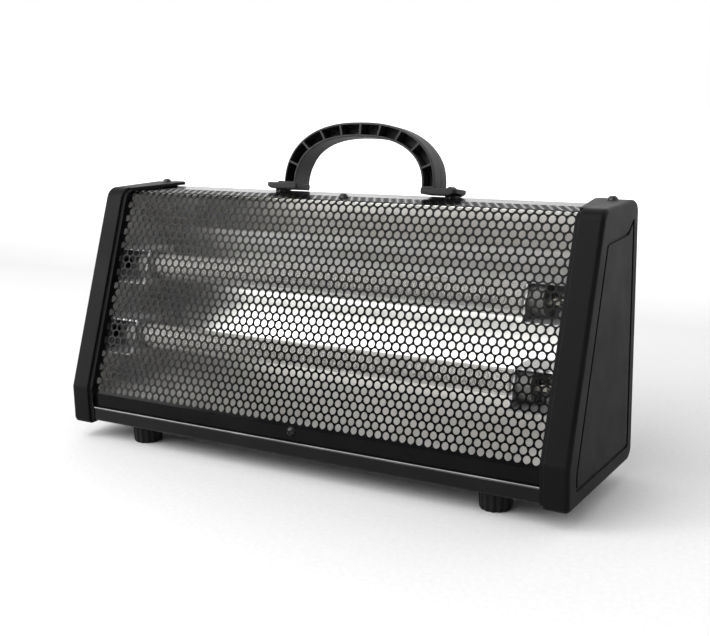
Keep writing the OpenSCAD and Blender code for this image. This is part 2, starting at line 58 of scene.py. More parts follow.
cap_lo, cap_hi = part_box("right_end_cap")
guard_lo, guard_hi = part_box("front_guard")
tray_lo, tray_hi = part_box("base_tray")
rear_lo, rear_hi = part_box("rear_housing")
reflector_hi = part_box("reflector")[1]
handle_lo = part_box("carry_handle")[0]

SHEET = 0.8 * MM
LEAN = math.radians(20)
KINK_Z = 35 * MM  # height where the guard starts to lean back
ROOF_FRONT_Y = guard_lo.y + (guard_hi.z - KINK_Z) * math.tan(LEAN)  # where the slope meets the top
EASE = 0.1 * MM  # gap between a cap and the sheet metal in it
CAP_IN = cap_hi.x - 16 * MM  # inner face of a cap
LIP_IN = CAP_IN - 3 * MM  # inner end of a cap's lip
LIP_SINK = 2 * MM
CAP_UPRIGHT = 28 * MM  # upright stretch of a cap's front


# ---------------------------------------------------------------- outlines in the YZ plane

def vec(y, z):
    return Vector((y, z))


def left_of(direction):
    return vec(-direction.y, direction.x)


def arc(before, point, after, radius, steps):
    """Points of the arc that rounds one corner of an outline."""
    u, v = (before - point).normalized(), (after - point).normalized()
    half = math.acos(max(-1, min(1, u.dot(v)))) / 2
    centre = point + (u + v).normalized() * radius / math.sin(half)
    first = (point + u * radius / math.tan(half)) - centre
    last = (point + v * radius / math.tan(half)) - centre
    turn = math.copysign(math.pi - 2 * half, first.x * last.y - first.y * last.x)
    start = math.atan2(first.y, first.x)
    angles = [start + turn * i / steps for i in range(steps + 1)]
    return [centre + vec(math.cos(a), math.sin(a)) * radius for a in angles]


def rounded(points, radii, steps=8):
    n = len(points)
    out = []
    for i in range(n):
        out += arc(points[i - 1], points[i], points[(i + 1) % n], radii[i], steps)
    return out


def inset(points, distance):
    """A counter-clockwise outline moved inwards."""
    out = []
    for i, p in enumerate(points):
        n1 = left_of((p - points[i - 1]).normalized())
        n2 = left_of((points[(i + 1) % len(points)] - p).normalized())
        out.append(p + (n1 + n2) * distance / (1 + n1.dot(n2)))
    return out


def rectangle(x0, y0, x1, y1, radius, steps=5):
    corners = [vec(x0, y0), vec(x1, y0), vec(x1, y1), vec(x0, y1)]
    return rounded(corners, [radius] * 4, steps)


def slot_outline(x, y, width, height):
    """A slot with round ends, a hair under half its height in radius so that no two points meet."""
    half_x, half_y = width / 2, height / 2
    return rectangle(x - half_x, y - half_y, x + half_x, y + half_y, half_y * 0.999, 8)


def circle(x, y, radius, steps=32):
    angles = [2 * math.pi * i / steps for i in range(steps)]
    return [vec(x + radius * math.cos(a), y + radius * math.sin(a)) for a in angles]


class Fold:
    """The outer face of a folded sheet in the YZ plane, walked by its length s.

    The metal lies on the left of the walk where side is 1, and on the right where it is -1.
    """

    def __init__(self, points, radii, side):
        self.side = side
        self.runs = []
        self.bends = []
        s, at = 0.0, points[0]
        for i in range(1, len(points)):
            heading = (points[i] - points[i - 1]).normalized()
            last = i == len(points) - 1
            turn = reach = 0.0
            if not last:
                following = (points[i + 1] - points[i]).normalized()
                across = heading.x * following.y - heading.y * following.x
                turn = math.atan2(across, heading.dot(following))
                reach = radii[i - 1] * math.tan(abs(turn) / 2)
            end = points[i] - heading * reach
            length = (end - at).length
            self.runs.append((s, length, at, heading, 0.0))
            s, at = s + length, end
            if not last:
                length = radii[i - 1] * abs(turn)
                self.runs.append((s, length, at, heading, turn))
                self.bends.append((s, s + length))
                s += length
                at = points[i] + (points[i + 1] - points[i]).normalized() * reach
        self.length = s

    def at(self, s):
        """The point at length s and the outline's heading there."""
        for start, length, point, heading, turn in self.runs:
            if s <= start + length or start + length >= self.length - 1e-12:
                walked = s - start
                if not turn:
                    return point + heading * walked, heading
                radius = length / abs(turn)
                swept = turn * walked / length
                towards = left_of(heading) * math.copysign(radius, turn)
                centre = point + towards
                spin = Matrix.Rotation(swept, 2)
                return centre + spin @ (-towards), spin @ heading

    def place(self, x, s, depth):
        point, heading = self.at(s)
        point = point + left_of(heading) * self.side * depth
        return Vector((x, point.x, point.y))

    def cuts(self, steps=6):
        """Lengths where a flat pattern needs a line so that it can bend."""
        return [a + (b - a) * i / steps for a, b in self.bends for i in range(steps + 1)]


# ---------------------------------------------------------------- meshes

HAIR = 1e-7  # lengths closer than this count as equal


def weld(bm):
    bmesh.ops.remove_doubles(bm, verts=bm.verts, dist=1e-6)


def fill(bm, edges):
    """Fills the flat region between closed loops."""
    bmesh.ops.triangle_fill(bm, use_beauty=True, edges=edges)


def bridge(bm, a, b):
    """Quads between two closed rings with the same number of vertices."""
    n = len(a)
    for i in range(n):
        bm.faces.new((a[i], a[(i + 1) % n], b[(i + 1) % n], b[i]))


def loft(bm, rings, close_start=True, close_end=True):
    """Joins rings of points. Returns the vertices of the first and last ring."""
    rings = [[bm.verts.new(p) for p in ring] for ring in rings]
    for a, b in zip(rings, rings[1:]):
        bridge(bm, a, b)
    if close_start:
        bm.faces.new(rings[0])
    if close_end:
        bm.faces.new(rings[-1])
    return rings[0], rings[-1]


def ring_edges(verts):
    """The edges of a ring, each once and always in the same order."""
    edges = dict.fromkeys(e for v in verts for e in v.link_edges)
    return [e for e in edges if e.verts[0] in verts and e.verts[1] in verts]


def lathe(bm, profile, frame_matrix, steps=64):
    """Turns a closed (radius, height) profile about the local Z axis."""
    columns = []
    for i in range(steps):
        a = 2 * math.pi * i / steps
        columns.append([bm.verts.new(frame_matrix @ Vector((r * math.cos(a), r * math.sin(a), h)))
                        for r, h in profile])
    for i in range(steps):
        bridge(bm, columns[i], columns[(i + 1) % steps])


def thicken(bm, fold, thickness):
    """Bends a flat (x, s) pattern along a fold and gives it thickness."""
    flat = {v: (v.co.x, v.co.y) for v in bm.verts}
    faces = list(bm.faces)
    border = [e for e in bm.edges if len(e.link_faces) == 1]
    under = {v: bm.verts.new(fold.place(x, s, thickness)) for v, (x, s) in flat.items()}
    for f in faces:
        bm.faces.new([under[v] for v in reversed(f.verts)])
    for e in border:
        a, b = e.verts
        bm.faces.new((a, b, under[b], under[a]))
    for v, (x, s) in flat.items():
        v.co = fold.place(x, s, 0)


def strip_of_quads(bm, x0, x1, levels):
    """Flat quads across the whole width between successive values of s."""
    for low, high in zip(levels, levels[1:]):
        corners = [(x0, low), (x1, low), (x1, high), (x0, high)]
        bm.faces.new([bm.verts.new((x, s, 0)) for x, s in corners])


def make(name, bm, material, node, bevel=0.0, segments=2, sharp=35, welded=True):
    """Turns a bmesh into a shown piece that rides on the body and stands for a CAD node."""
    if welded:
        weld(bm)
    bmesh.ops.recalc_face_normals(bm, faces=bm.faces)
    mesh = bpy.data.meshes.new(name)
    bm.to_mesh(mesh)
    bm.free()
    mesh.materials.append(material)
    mesh.shade_smooth()
    piece = bpy.data.objects.new(name, mesh)
    bpy.context.scene.collection.objects.link(piece)
    soften(piece, bevel, segments, sharp)
    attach(piece, BODY)
    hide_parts(node)


def soften(piece, width, segments=2, sharp=35):
    """Rounds edges where asked, and keeps flat faces flat."""
    if width:
        bevel = piece.modifiers.new("soft_edges", "BEVEL")
        bevel.width = width
        bevel.segments = segments
        bevel.limit_method = "ANGLE"
        bevel.angle_limit = math.radians(sharp)
        bevel.use_clamp_overlap = True
    else:
        piece.data.set_sharp_from_angle(angle=math.radians(sharp))
    normals = piece.modifiers.new("flat_faces", "WEIGHTED_NORMAL")
    normals.keep_sharp = True


# ---------------------------------------------------------------- materials

WEAR_RADIUS = 0.5 * MM


def set_inputs(node, values):
    """Sets a node's inputs by name. An underscore stands for a space."""
    for name, value in values.items():
        node.inputs[name.replace("_", " ")].default_value = value


class Shader:
    """A material whose colour, roughness and bump come from noise in the object's own coordinates."""

    def __init__(self, name, **values):
        self.material = bpy.data.materials.new(name)
        self.material.use_nodes = True
        self.tree = self.material.node_tree
        self.bsdf = self.tree.nodes["Principled BSDF"]
        self.where = self.node("ShaderNodeTexCoord").outputs["Object"]
        set_inputs(self.bsdf, values)

    def node(self, kind, **values):
        node = self.tree.nodes.new(kind)
        set_inputs(node, values)
        return node

    def link(self, a, b):
        self.tree.links.new(a, b)

    def feed(self, **sources):
        """Links values into the surface's own inputs."""
        for name, source in sources.items():
            self.link(source, self.bsdf.inputs[name.replace("_", " ")])

    def noise(self, scale, detail, stretch=None):
        where = self.where
        if stretch:
            mapping = self.node("ShaderNodeMapping", Scale=stretch)
            self.link(where, mapping.inputs["Vector"])
            where = mapping.outputs["Vector"]
        node = self.node("ShaderNodeTexNoise", Scale=scale, Detail=detail)
        self.link(where, node.inputs["Vector"])
        return node.outputs["Fac"]

    def ramp(self, fac, dark, light):
        node = self.node("ShaderNodeValToRGB")
        for element, at, colour in zip(node.color_ramp.elements, (0.3, 0.7), (dark, light)):
            element.position = at
            element.color = (*colour, 1)
        self.link(fac, node.inputs["Fac"])
        return node.outputs["Color"]

    def spread(self, fac, low, high, start=0.3, end=0.7):
        """Maps a value from start..end to low..high."""
        node = self.node("ShaderNodeMapRange", From_Min=start, From_Max=end, To_Min=low, To_Max=high)
        self.link(fac, node.inputs["Value"])
        return node.outputs["Result"]

    def maths(self, operation, a, b):
        node = self.node("ShaderNodeMath")
        node.operation = operation
        self.link(a, node.inputs[0])
        self.link(b, node.inputs[1])
        return node.outputs["Value"]

    def mix(self, fac, base, worn):
        node = self.node("ShaderNodeMix")
        node.data_type = "RGBA"
        base_input, worn_input = node.inputs[6], node.inputs[7]
        self.link(fac, node.inputs["Factor"])
        self.link(base, base_input)
        worn_input.default_value = (*worn, 1)
        return node.outputs[2]

    def edges(self, radius):
        """1 on edges that are worn, 0 on flat faces."""
        bevel = self.node("ShaderNodeBevel", Radius=radius)
        bevel.samples = 4
        dot = self.node("ShaderNodeVectorMath")
        dot.operation = "DOT_PRODUCT"
        self.link(bevel.outputs["Normal"], dot.inputs[0])
        self.link(self.node("ShaderNodeNewGeometry").outputs["Normal"], dot.inputs[1])
        patches = self.spread(self.noise(260, 4), 0.0, 1.0, 0.42, 0.66)
        return self.maths("MULTIPLY", self.spread(dot.outputs["Value"], 1.0, 0.0, 0.86, 0.99), patches)

    def bump(self, height, distance, strength=1.0, over=None):
        node = self.node("ShaderNodeBump", Strength=strength, Distance=distance)
        self.link(height, node.inputs["Height"])
        if over:
            self.link(over, node.inputs["Normal"])
        return node.outputs["Normal"]


def grained(name, dark, light, rough, grain, depth, wear=None, wear_radius=WEAR_RADIUS, blotch=35,
            **values):
    """A moulded, painted or cast surface: blotchy, finely grained, and paler on worn edges if asked."""
    shader = Shader(name, **values)
    blotches, fine = shader.noise(blotch, 4), shader.noise(grain, 2)
    colour = shader.ramp(blotches, dark, light)
    if wear:
        colour = shader.mix(shader.edges(wear_radius), colour, wear)
    roughness = shader.maths("ADD", shader.spread(blotches, *rough), shader.spread(fine, -0.04, 0.04))
    shader.feed(Base_Color=colour, Roughness=roughness, Normal=shader.bump(fine, depth))
    return shader.material


def metal(name, dark, light, rough, grain, depth):
    return grained(name, dark, light, rough, grain, depth, blotch=60, Metallic=1.0)


def polished_sheet():
    """Rolled aluminium: bright, with long rolling lines, slow waves and a few hazy patches."""
    shader = Shader("polished_aluminium", Metallic=1.0)
    haze = shader.noise(14, 4)
    lines = shader.noise(900, 2, (0.03, 1, 1))
    waves = shader.noise(34, 1, (0.06, 1.0, 1.0))
    shader.feed(
        Base_Color=shader.ramp(haze, (0.72, 0.71, 0.68), (0.82, 0.81, 0.79)),
        Roughness=shader.maths("ADD", shader.spread(haze, 0.31, 0.38), shader.spread(lines, -0.03, 0.03)),
        Normal=shader.bump(lines, 0.002 * MM, 0.5, shader.bump(waves, 2.5 * MM)))
    return shader.material


def milky_quartz():
    """Satin fused quartz: cloudy along the tube, with faint drawing lines."""
    shader = Shader("milky_quartz", IOR=1.46, Alpha=0.34)
    cloud = shader.noise(30, 4, (0.35, 1, 1))
    lines = shader.noise(600, 2, (0.02, 1, 1))
    shader.feed(Base_Color=shader.ramp(cloud, (0.56, 0.54, 0.51), (0.70, 0.68, 0.65)),
                Roughness=shader.spread(cloud, 0.24, 0.34), Normal=shader.bump(lines, 0.03 * MM))
    return shader.material


enamel = grained("black_enamel", (0.0028, 0.0028, 0.003), (0.0045, 0.0045, 0.0048), (0.16, 0.24), 900,
                 0.006 * MM, wear=(0.03, 0.03, 0.031), Specular_IOR_Level=0.14)
guard_enamel = grained("guard_enamel", (0.0025, 0.0025, 0.0027), (0.004, 0.004, 0.0043), (0.12, 0.20),
                       1400, 0.005 * MM, Specular_IOR_Level=0.06)
# The hem's pale, nearly metallic grey is a painted highlight. It stands in for the bright line that light
# draws along the rolled hem of the black enamel tray.
hem_highlight_metal = grained("hem_painted_highlight", (0.07, 0.07, 0.072), (0.12, 0.12, 0.122), (0.16, 0.26), 900,
                     0.006 * MM, Metallic=0.9)
moulded = grained("moulded_cap", (0.0034, 0.0031, 0.0036), (0.0050, 0.0046, 0.0051), (0.44, 0.54), 2600,
                  0.03 * MM, wear=(0.024, 0.023, 0.024), wear_radius=0.9 * MM, Specular_IOR_Level=0.06)
handle_plastic = grained("moulded_handle", (0.012, 0.0115, 0.012), (0.018, 0.0175, 0.018), (0.48, 0.6),
                         2200, 0.03 * MM, wear=(0.06, 0.058, 0.06), Specular_IOR_Level=0.25)
rubber = grained("foot_rubber", (0.003, 0.003, 0.003), (0.006, 0.006, 0.006), (0.55, 0.75), 1800,
                 0.04 * MM, wear=(0.02, 0.02, 0.02), Specular_IOR_Level=0.2)
black_steel = grained("blackened_steel", (0.006, 0.006, 0.0065), (0.014, 0.014, 0.015), (0.22, 0.36), 1500,
                      0.01 * MM, wear=(0.16, 0.16, 0.165), wear_radius=0.25 * MM, Metallic=0.5)
zinc_steel = metal("zinc_steel", (0.42, 0.42, 0.41), (0.62, 0.62, 0.61), (0.25, 0.42), 1500, 0.02 * MM)
galvanised = metal("galvanised_steel", (0.40, 0.40, 0.39), (0.56, 0.56, 0.55), (0.26, 0.4), 500, 0.02 * MM)
bracket_steel = grained("bracket_steel", (0.42, 0.422, 0.42), (0.56, 0.562, 0.558), (0.36, 0.5), 900,
                        0.02 * MM, Metallic=0.7)
resistance_wire = metal("resistance_wire", (0.04, 0.037, 0.034), (0.09, 0.083, 0.076), (0.35, 0.5), 3000,
                        0.01 * MM)
plated_brass = metal("plated_brass", (0.30, 0.29, 0.25), (0.46, 0.45, 0.40), (0.26, 0.40), 1500, 0.02 * MM)
ceramic = grained("tube_ceramic", (0.12, 0.12, 0.115), (0.2, 0.2, 0.19), (0.4, 0.55), 1200, 0.05 * MM)
glazed = grained("glazed_ceramic", (0.62, 0.60, 0.55), (0.74, 0.72, 0.67), (0.18, 0.3), 500, 0.02 * MM)
switch_black = grained("switch_black", (0.010, 0.010, 0.010), (0.018, 0.018, 0.018), (0.16, 0.26), 2000,
                       0.01 * MM, wear=(0.05, 0.05, 0.05))
rocker_red = grained("rocker_red", (0.36, 0.016, 0.012), (0.50, 0.028, 0.020), (0.16, 0.28), 2000,
                     0.01 * MM, wear=(0.62, 0.08, 0.06), wear_radius=0.4 * MM)
nylon = grained("natural_nylon", (0.60, 0.59, 0.55), (0.72, 0.71, 0.67), (0.35, 0.5), 1500, 0.02 * MM)
silicone = grained("wire_sleeve", (0.34, 0.04, 0.03), (0.48, 0.06, 0.045), (0.45, 0.6), 1500, 0.03 * MM)
reflector_metal = polished_sheet()
quartz = milky_quartz()


# ---------------------------------------------------------------- front guard

PITCH = 6 * MM
HOLE_R = 2.5 * MM
ROW = PITCH * math.sin(math.radians(60))
HOLE_STEPS = 24
HALF, QUARTER, SIXTH, TWELFTH = (HOLE_STEPS // share for share in (2, 4, 6, 12))  # arcs of a rim
ROWS_DOWN, ROWS_UP = 14, 19  # rows below and above the middle row
MIDDLE_ROW = 77.7 * MM  # the middle row's distance up the slope from the kink
HALF_EVEN = 29  # holes on each side of the middle in an even row


def guard_fold():
    points = [vec(guard_lo.y, guard_lo.z), vec(guard_lo.y, KINK_Z), vec(ROOF_FRONT_Y, guard_hi.z),
              vec(guard_hi.y, guard_hi.z)]
    return Fold(points, [4 * MM, 4 * MM], -1)


def rim(hole, i):
    return hole[i % HOLE_STEPS]


def guard_holes(bm, kink):
    """The rims of all holes, by row and by half pitches from the middle."""
    holes = {}
    for row in range(-ROWS_DOWN, ROWS_UP + 1):
        odd = row % 2
        for column in range(-HALF_EVEN - odd, HALF_EVEN + 1):
            outline = circle((column + odd / 2) * PITCH, kink + MIDDLE_ROW + row * ROW, HOLE_R, HOLE_STEPS)
            holes[row, 2 * column + odd] = [bm.verts.new((p.x, p.y, 0)) for p in outline]
    return holes


def guard_webs(bm, holes):
    """Quads between the facing arcs of two holes, and a triangle between three holes."""
    for (row, key), hole in holes.items():
        right = holes.get((row, key + 2))
        for turn, other in enumerate((right, holes.get((row + 1, key + 1)), holes.get((row + 1, key - 1)))):
            if not other:
                continue
            first = turn * SIXTH - TWELFTH
            facing = first + HALF + SIXTH
            for i in range(SIXTH):
                bm.faces.new((rim(hole, first + i), rim(hole, first + i + 1),
                              rim(other, facing - i - 1), rim(other, facing - i)))
        for up in (1, -1):
            third = holes.get((row + up, key + 1))
            if right and third:
                bm.faces.new((rim(hole, up * TWELFTH), rim(right, HALF - up * TWELFTH),
                              rim(third, -up * QUARTER)))


def guard_border(bm, rims, flatten):
    """Quads from the outermost rims straight to an edge of the sheet."""
    for a, b in zip(rims, rims[1:]):
        far = [bm.verts.new((*flatten(v.co), 0)) for v in (b, a)]
        bm.faces.new((a, b, *far))


def guard_borders(bm, holes, edge_x, s_low, s_high):
    bottom, top = -ROWS_DOWN, ROWS_UP
    for row, sign, s_edge in ((bottom, -1, s_low), (top, 1, s_high)):
        keys = sorted(k for r, k in holes if r == row)
        rims = []
        for key in keys:
            start = QUARTER if key == keys[0] else HALF - TWELFTH
            stop = QUARTER if key == keys[-1] else TWELFTH
            rims += [rim(holes[row, key], sign * i) for i in range(start, stop - 1, -1)]
        guard_border(bm, rims, lambda co, s=s_edge: (co.x, s))
    for side in (-1, 1):
        rims = []
        for row in range(bottom, top + 1):
            key = max(k * side for r, k in holes if r == row) * side
            reach = QUARTER if row % 2 else TWELFTH
            low = QUARTER if row == bottom else reach
            high = QUARTER if row == top else reach
            rims += [rim(holes[row, key], i if side > 0 else HALF - i) for i in range(-low, high + 1)]
        guard_border(bm, rims, lambda co, x=side * edge_x: (x, co.y))
        for at, s_edge in ((rims[0].co, s_low), (rims[-1].co, s_high)):
            corners = [(at.x, at.y), (side * edge_x, at.y), (side * edge_x, s_edge), (at.x, s_edge)]
            bm.faces.new([bm.verts.new((*p, 0)) for p in corners])


def front_guard():
    """A perforated sheet with a plain band at the bottom, bent at the kink and over the top."""
    fold = guard_fold()
    edge_x, s_low = guard_hi.x, fold.bends[0][1]
    bm = bmesh.new()
    holes = guard_holes(bm, sum(fold.bends[0]) / 2)
    guard_webs(bm, holes)
    guard_borders(bm, holes, edge_x, s_low, fold.length)
    weld(bm)

    # one wide face joins the many vertices above to the plain band's last line below
    levels = [0] + [a for a in fold.cuts() if a < s_low - HAIR]
    strip_of_quads(bm, -edge_x, edge_x, levels)
    weld(bm)
    seam, under = (sorted((v for v in bm.verts if abs(v.co.y - s) < HAIR), key=lambda v: v.co.x)
                   for s in (s_low, levels[-1]))
    bm.faces.new(seam + [under[-1], under[0]])
    bmesh.ops.recalc_face_normals(bm, faces=bm.faces)
    thicken(bm, fold, SHEET)
    make("perforated_guard", bm, guard_enamel, "front_guard", sharp=40)


front_guard()


# ---------------------------------------------------------------- rear housing and base tray

BACK_BEND = 3.5 * MM
VENTS = 14  # vents in a row
VENT_W, VENT_H = 16 * MM, 3.6 * MM
VENT_ROWS = (158 * MM, 148 * MM, 64 * MM)
GLAND_HOLE_R = 6.2 * MM
HEM_Z, HEM_R = 24.7 * MM, 0.9 * MM  # the rolled hem along the tray's lip


def flat_panel(fold, half_x, panel_start, holes):
    """A flat pattern: plain strips, and from panel_start on one flat panel with holes in it."""
    bm = bmesh.new()
    levels = sorted([0, *fold.cuts()])
    strip_of_quads(bm, -half_x, half_x, [s for s in levels if s <= panel_start + HAIR])
    outline = [vec(-half_x, panel_start), vec(half_x, panel_start), vec(half_x, fold.length),
               vec(-half_x, fold.length)]
    edges = []
    for loop in [outline, *holes]:
        verts = [bm.verts.new((p.x, p.y, 0)) for p in loop]
        edges += [bm.edges.new(ends) for ends in zip(verts, verts[1:] + verts[:1])]
    fill(bm, edges)
    weld(bm)
    bmesh.ops.recalc_face_normals(bm, faces=bm.faces)
    return bm


def rear_housing():
    points = [vec(rear_lo.y, rear_hi.z), vec(rear_hi.y, rear_hi.z), vec(rear_hi.y, rear_lo.z)]
    fold = Fold(points, [BACK_BEND], -1)
    back = fold.bends[0][1]

    def s_of(z):
        return back + (rear_hi.z - BACK_BEND) - z

    spacing = 2 * (LIP_IN - 24 * MM) / VENTS
    holes = [slot_outline((i - (VENTS - 1) / 2) * spacing, s_of(z), VENT_W, VENT_H)
             for z in VENT_ROWS for i in range(VENTS)]
    gland = sum(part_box("cable_gland"), Vector()) / 2
    holes.append(circle(gland.x, s_of(gland.z), GLAND_HOLE_R))
    bm = flat_panel(fold, rear_hi.x, back, holes)
    thicken(bm, fold, SHEET)
    make("rear_sheet", bm, enamel, "rear_housing", bevel=0.12 * MM, segments=1)


def base_tray():
    lip_y, back_y = tray_lo.y, tray_hi.y
    points = [vec(lip_y, HEM_Z), vec(lip_y, tray_lo.z), vec(back_y, tray_lo.z), vec(back_y, tray_hi.z)]
    fold = Fold(points, [1.6 * MM, 4 * MM], 1)
    bm = bmesh.new()
    strip_of_quads(bm, tray_lo.x, tray_hi.x, sorted([0, fold.length, *fold.cuts()]))
    weld(bm)
    thicken(bm, fold, SHEET)
    make("base_sheet", bm, enamel, "base_tray", bevel=0.12 * MM, segments=1)
    bm = bmesh.new()
    hem = circle(lip_y + HEM_R / 2, HEM_Z, HEM_R, 16)
    loft(bm, [[Vector((x, p.x, p.y)) for p in hem] for x in (-LIP_IN, LIP_IN)])
    # the hem takes the painted-highlight material, not the tray's black enamel
    make("base_hem", bm, hem_highlight_metal, "base_tray", sharp=60)


rear_housing()
base_tray()


# ---------------------------------------------------------------- end caps

CAP_RADII = [4, 9, 8, 10, 8]  # millimetres, like the other lists of corner radii
SIDE_ROUND = 3 * MM
CAVITY = 8 * MM  # from a cap's outer face to the floor of its hollow
GROOVE_DEPTH, GROOVE_W = 1.2 * MM, 2.2 * MM  # the groove round a cap's side panel
PANEL_SINK = 0.1 * MM
WELL_Y, WELL_Z, WELL_DEPTH = (0, 41 * MM), (28 * MM, 56 * MM), 4 * MM  # the switches' well
SWITCH_CUT = (11.6 * MM, 19.2 * MM)


def cap_points():
    lo, hi = cap_lo, cap_hi
    top_front = lo.y + (hi.z - lo.z - CAP_UPRIGHT) * math.tan(LEAN)
    return [vec(lo.y, lo.z), vec(hi.y, lo.z), vec(hi.y, hi.z), vec(top_front, hi.z),
            vec(lo.y, lo.z + CAP_UPRIGHT)]


def cap_outline(distance):
    return rounded(inset(cap_points(), distance), [max(r * MM - distance, 0.6 * MM) for r in CAP_RADII])


def panel_outline(grow):
    lo, hi = cap_lo, cap_hi
    front, back, floor, roof = lo.y + 12.4 * MM, hi.y - 9 * MM, lo.z + 10 * MM, hi.z - 20 * MM
    lean_y = front + (roof - lo.z - CAP_UPRIGHT) * math.tan(LEAN)
    points = [vec(front - 0.4 * MM, floor), vec(back, floor), vec(back, hi.z - 10 * MM),
              vec(hi.y - 20 * MM, hi.z - 18.5 * MM), vec(lean_y, roof),
              vec(front, lo.z + CAP_UPRIGHT - 6 * MM)]
    radii = [3, 3, 1.5, 8, 3, 3]
    return rounded(inset(points, -grow), [max(r * MM + grow, 0.4 * MM) for r in radii], 5)


def body_outline(_):
    """The opening that the sheet-metal body sits in. It doesn't change with depth."""
    lo_y, hi_y = tray_lo.y - 0.6 * MM, rear_hi.y + EASE
    floor, roof = tray_lo.z - EASE, guard_hi.z + EASE
    points = [vec(lo_y, floor), vec(hi_y, floor), vec(hi_y, roof), vec(ROOF_FRONT_Y - EASE, roof),
              vec(guard_lo.y - EASE, KINK_Z), vec(lo_y, KINK_Z - 3 * MM)]
    return rounded(points, [r * MM for r in (1, 4, 3.5, 1, 1, 1)])


def switch_holes():
    holes = []
    for node in ("upper_switch_body", "lower_switch_body"):
        lo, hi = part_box(node)
        y, z = (lo.y + hi.y) / 2, (lo.z + hi.z) / 2
        half_y, half_z = (size / 2 for size in SWITCH_CUT)
        holes.append(rectangle(y - half_y, z - half_z, y + half_y, z + half_z, 0.5 * MM, 2))
    return holes


def end_cap(side, name, node):
    """A moulded cap: lip, rounded cheek, grooved side panel and, on the left, a well for the switches."""
    bm = bmesh.new()
    outer_x, left = cap_hi.x, side < 0

    def at(x):
        return lambda p: Vector((side * x, p.x, p.y))

    def rings(stations, outline):
        return [[at(x)(p) for p in outline(d)] for x, d in stations]

    roll = [(outer_x - SIDE_ROUND + SIDE_ROUND * math.sin(a), SIDE_ROUND * (1 - math.cos(a)))
            for a in (math.pi / 2 * i / 7 for i in range(8))]
    stations = [(LIP_IN, LIP_SINK + 0.5 * MM), (LIP_IN + 0.15 * MM, LIP_SINK + 0.15 * MM),
                (LIP_IN + 0.5 * MM, LIP_SINK), (CAP_IN - 0.05 * MM, LIP_SINK),
                (CAP_IN, LIP_SINK - 0.1 * MM), (CAP_IN, 0.8 * MM), (CAP_IN + 0.25 * MM, 0.25 * MM),
                (CAP_IN + 0.8 * MM, 0), *roll]
    lip, cheek = loft(bm, rings(stations, cap_outline), False, False)

    cavity_x = outer_x - CAVITY
    mouth, seat = loft(bm, rings([(LIP_IN, 0), (cavity_x, 0)], body_outline), False, False)
    fill(bm, ring_edges(lip) + ring_edges(mouth))

    panel_x = outer_x - PANEL_SINK
    groove_x = outer_x - GROOVE_DEPTH
    steps = [(outer_x, 0.35 * MM), (outer_x - 0.1 * MM, 0.08 * MM), (outer_x - 0.35 * MM, 0),
             (groove_x + 0.15 * MM, 0), (groove_x, -0.15 * MM), (groove_x, 0.15 * MM - GROOVE_W),
             (groove_x + 0.15 * MM, -GROOVE_W), (panel_x - 0.35 * MM, -GROOVE_W),
             (panel_x - 0.1 * MM, -GROOVE_W - 0.1 * MM), (panel_x, -GROOVE_W - 0.4 * MM)]
    edge, floor = loft(bm, rings(steps, panel_outline), False, False)
    fill(bm, ring_edges(cheek) + ring_edges(edge))
    if left:
        well_x = outer_x - GROOVE_DEPTH - WELL_DEPTH
        wells = [(panel_x, 0.5 * MM), (panel_x - 0.15 * MM, 0.15 * MM), (panel_x - 0.5 * MM, 0),
                 (well_x + 0.4 * MM, 0), (well_x, -0.4 * MM)]

        def well(grow):
            return rectangle(WELL_Y[0] - grow, WELL_Z[0] - grow, WELL_Y[1] + grow, WELL_Z[1] + grow,
                             2 * MM + grow)

        brim, well_floor = loft(bm, rings(wells, well), False, False)
        fill(bm, ring_edges(floor) + ring_edges(brim))
        inner, outer = [], []
        for hole in switch_holes():
            a, b = loft(bm, [[at(x)(p) for p in hole] for x in (cavity_x, well_x)], False, False)
            inner += ring_edges(a)
            outer += ring_edges(b)
        fill(bm, ring_edges(well_floor) + outer)
        fill(bm, ring_edges(seat) + inner)
    else:
        bm.faces.new(floor)
        bm.faces.new(seat)
    top_flange(bm, side)
    make(name, bm, moulded, node, sharp=38)


def top_flange(bm, side):
    """The tongue of a cap that lies on top of the sheet-metal body."""
    z0, z1 = guard_hi.z + EASE, cap_hi.z
    x1 = CAP_IN + 2 * MM
    y0, y1 = ROOF_FRONT_Y + 1 * MM, cap_hi.y - 1.5 * MM
    points = [vec(LIP_IN, y0), vec(x1, y0), vec(x1, y1), vec(cap_lo.x, y1)]
    rings = []
    for z, pull in [(z0, 0), (z1 - 0.9 * MM, 0), (z1 - 0.3 * MM, 0.28 * MM), (z1, 0.9 * MM)]:
        outline = rounded(inset(points, pull), [max(r * MM - pull, 0.3 * MM) for r in (1.2, 1, 1, 5)], 6)
        rings.append([Vector((side * p.x, p.y, z)) for p in outline])
    loft(bm, rings)


end_cap(1, "right_cap", "right_end_cap")
end_cap(-1, "left_cap", "left_end_cap")


# ---------------------------------------------------------------- reflector, tubes and their mounts

REFLECTOR_T = 0.5 * MM
REFLECTOR_COLUMNS, REFLECTOR_STEP = 72, 6 * MM  # fine enough for the waves
WAVE = 0.18 * MM
WALL = 1.3 * MM  # of a quartz tube
WIRE_R, WIRE_PITCH, WIRE_STEPS = 0.55 * MM, 3.2 * MM, 24


def subdivided(levels, step):
    """Levels with more put between them, about one step apart."""
    out = []
    for low, high in zip(levels, levels[1:]):
        count = max(1, round((high - low) / step))
        out += [low + (high - low) * i / count for i in range(count)]
    return out + [levels[-1]]


